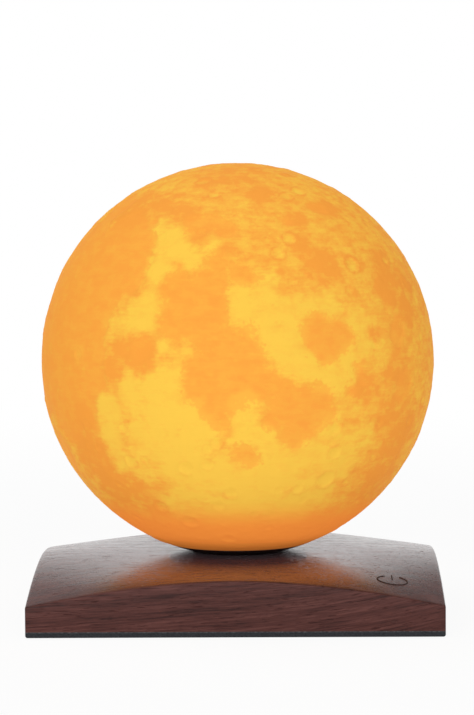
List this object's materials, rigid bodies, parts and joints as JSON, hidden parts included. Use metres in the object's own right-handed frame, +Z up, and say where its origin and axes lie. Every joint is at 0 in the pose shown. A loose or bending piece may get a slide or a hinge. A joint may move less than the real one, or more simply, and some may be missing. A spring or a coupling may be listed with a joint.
{
  "type": "moon lamp",
  "caption": "Levitating moon lamp: a lit, hollow moon ball resting on the flat middle of a square walnut base with arched sides; it lifts off and spins.",
  "frame": {"origin": "middle of the base pad's underside, where the lamp stands", "axes": "+Z up through the moon ball, -Y to the front, where the touch mark's corner is front right; the DC inlet is in the back, at +Y"},
  "size_m": [0.151, 0.151, 0.1697],
  "materials": {
    "walnut": "oiled walnut, satin",
    "pad_foam": "matte closed-cell foam rubber",
    "black_plastic": "moulded, matte",
    "white_plastic": "moulded, matte",
    "moon_print": "printed relief, matte, lit from inside",
    "steel": "zinc plated",
    "nickel": "nickel plated",
    "ferrite": "sintered, dull",
    "copper": "enamelled copper wire",
    "brass": "gold-flashed pins",
    "board_green": "solder mask over glass laminate",
    "board_white": "white solder mask on aluminium",
    "chip_black": "moulded epoxy",
    "can_aluminium": "bare can",
    "lead_red": "silicone-insulated wire",
    "led_yellow": "phosphor in silicone"
  },
  "bodies": {
    "base": {"base_pad": "pad_foam", "board_screws": "steel", "bottom_plate": "black_plastic", "capacitor_1": "can_aluminium", "capacitor_2": "can_aluminium", "coil_bobbin_1": "black_plastic", "coil_bobbin_2": "black_plastic", "coil_bobbin_3": "black_plastic", "coil_bobbin_4": "black_plastic", "coil_core_1": "steel", "coil_core_2": "steel", "coil_core_3": "steel", "coil_core_4": "steel", "coil_winding_1": "copper", "coil_winding_2": "copper", "coil_winding_3": "copper", "coil_winding_4": "copper", "control_board": "board_green", "control_chip": "chip_black", "driver_chips": "chip_black", "header_pins": "brass", "inductor_1": "ferrite", "inductor_2": "ferrite", "inlet_contact": "nickel", "inlet_housing": "black_plastic", "inlet_leads": "lead_red", "inlet_pin": "nickel", "module_frame": "black_plastic", "module_screws": "steel", "plate_screws": "steel", "position_sensors": "chip_black", "ring_magnet": "ferrite", "sensor_board": "board_green", "touch_board": "board_green", "touch_chip": "chip_black", "touch_electrode": "copper", "touch_lead": "lead_red", "transmitter_coil": "copper", "walnut_body": "walnut"},
    "float_magnet": {"floating_magnet": "nickel"},
    "moon": {"cap_screws": "steel", "foot_cap": "black_plastic", "lamp_stand": "white_plastic", "led_board": "board_white", "led_leads": "lead_red", "led_screws": "steel", "magnet_lid": "white_plastic", "moon_shell": "moon_print", "receiver_board": "board_green", "receiver_capacitor_1": "can_aluminium", "receiver_capacitor_2": "can_aluminium", "receiver_chip": "chip_black", "receiver_choke": "ferrite", "receiver_coil": "copper", "shell_collar": "white_plastic", "warm_leds": "led_yellow", "white_leds": "led_yellow"}
  },
  "joints": [
    {"name": "moon_lift", "type": "slide", "parent": "base", "child": "float_magnet", "axis": [0, 0, 1], "range_m": [0, 0.08]},
    {"name": "moon_spin", "type": "hinge", "parent": "float_magnet", "child": "moon", "pos_m": [0, 0, 0.09474], "axis": [0, 0, 1], "continuous": true}
  ]
}
